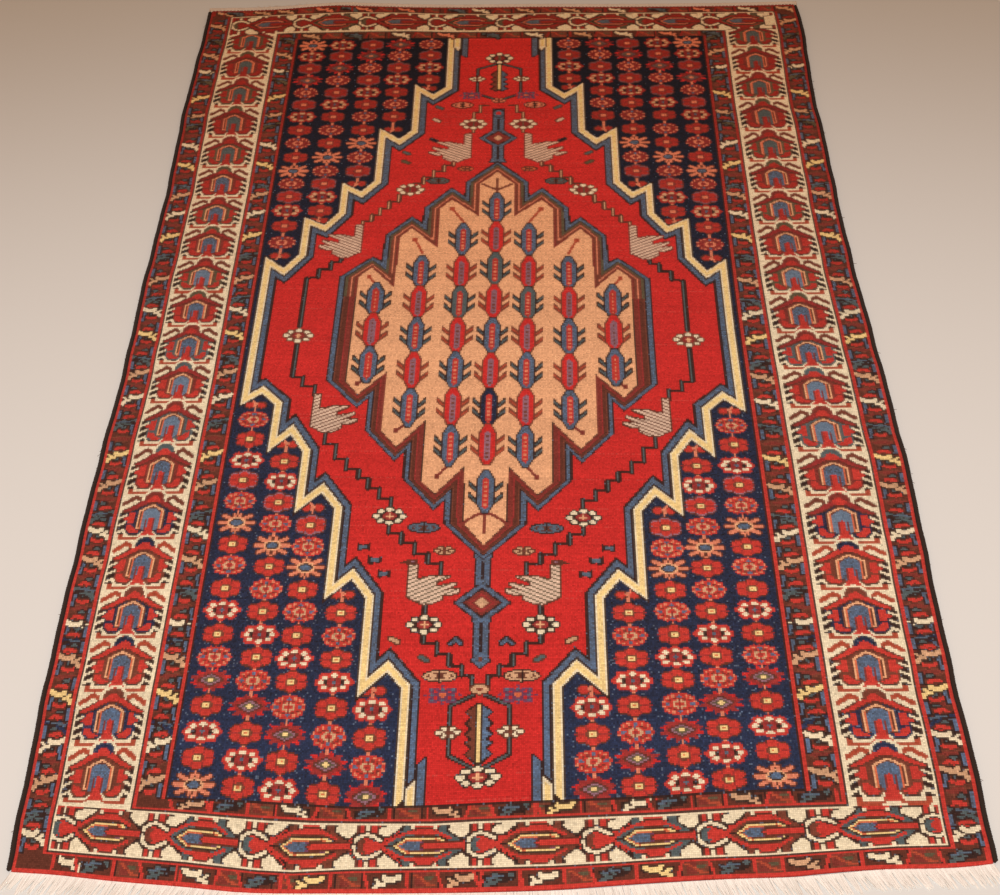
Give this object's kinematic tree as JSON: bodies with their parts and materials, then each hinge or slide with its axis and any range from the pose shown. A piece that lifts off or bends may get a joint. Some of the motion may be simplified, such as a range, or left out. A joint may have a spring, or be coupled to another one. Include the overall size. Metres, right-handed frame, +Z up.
{
  "type": "knotted wool rug",
  "caption": "Flat hand-knotted wool rug with a stepped medallion, birds, floret corners and palmette borders, overcast side cords and cotton ends.",
  "frame": {"origin": "on the floor under the middle of the rug's footprint, fringe included", "axes": "+X across the rug to the right, +Y along its length from the fringed near end to the woven far end, +Z up through the pile"},
  "size_m": [1.3522, 2.108, 0.0074],
  "materials": {
    "pile": "short worn wool pile, knotted in a many-coloured pattern on a red and navy ground",
    "binding": "dark brown wool yarn, closely overcast",
    "cotton": "undyed cotton, plain woven band and loose warp ends"
  },
  "bodies": {
    "root": {"rug": "pile", "selvedge_left": "binding", "selvedge_right": "binding", "end_near": "cotton", "end_far": "cotton"}
  },
  "joints": []
}
